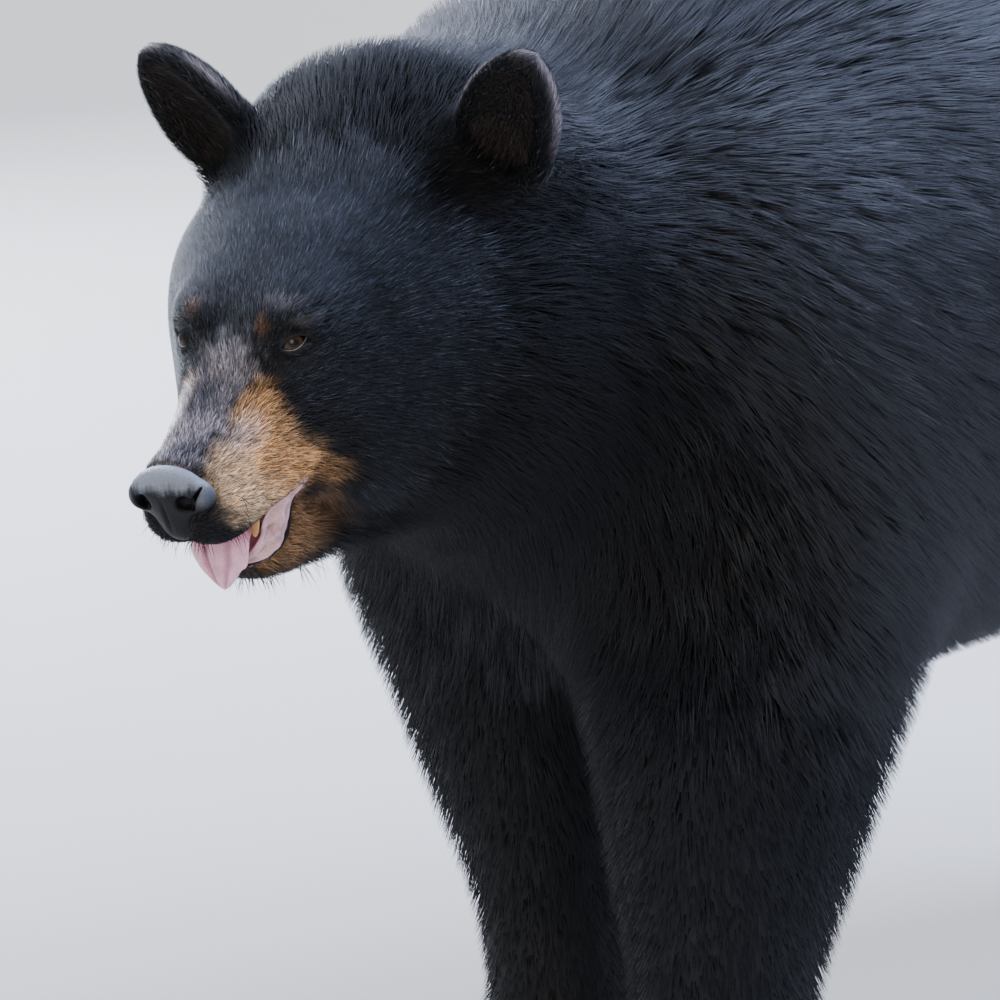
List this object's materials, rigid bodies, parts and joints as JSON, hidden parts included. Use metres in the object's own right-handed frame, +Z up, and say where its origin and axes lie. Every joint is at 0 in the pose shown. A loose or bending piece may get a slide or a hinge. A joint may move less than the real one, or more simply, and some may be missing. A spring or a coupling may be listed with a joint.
{
  "type": "american black bear figure",
  "caption": "Life-size still model of an adult black bear standing on all fours, head low and turned to its left, tongue out.",
  "frame": {"origin": "centre of the bounding box, on the floor the soles stand on", "axes": "+Z up, the bear faces -Y, its left side is +X"},
  "size_m": [0.5608, 1.6158, 0.8847],
  "materials": {
    "coat": "matte",
    "nose": "satin",
    "eye": "gloss",
    "tongue": "satin",
    "tooth": "satin",
    "claw": "satin"
  },
  "bodies": {
    "root": {"belly": "coat", "canine_left": "tooth", "canine_right": "tooth", "chest": "coat", "claw_fore_left_1": "claw", "claw_fore_left_2": "claw", "claw_fore_left_3": "claw", "claw_fore_left_4": "claw", "claw_fore_left_5": "claw", "claw_fore_right_1": "claw", "claw_fore_right_2": "claw", "claw_fore_right_3": "claw", "claw_fore_right_4": "claw", "claw_fore_right_5": "claw", "claw_hind_left_1": "claw", "claw_hind_left_2": "claw", "claw_hind_left_3": "claw", "claw_hind_left_4": "claw", "claw_hind_left_5": "claw", "claw_hind_right_1": "claw", "claw_hind_right_2": "claw", "claw_hind_right_3": "claw", "claw_hind_right_4": "claw", "claw_hind_right_5": "claw", "ear_left": "coat", "ear_right": "coat", "eye_left": "eye", "eye_right": "eye", "foot_fore_left": "coat", "foot_fore_right": "coat", "foot_hind_left": "coat", "foot_hind_right": "coat", "head": "coat", "lower_jaw": "coat", "lower_leg_fore_left": "coat", "lower_leg_fore_right": "coat", "lower_leg_hind_left": "coat", "lower_leg_hind_right": "coat", "neck": "coat", "nose_pad": "nose", "rump": "coat", "tail": "coat", "tongue": "tongue", "upper_leg_fore_left": "coat", "upper_leg_fore_right": "coat", "upper_leg_hind_left": "coat", "upper_leg_hind_right": "coat"}
  },
  "joints": []
}
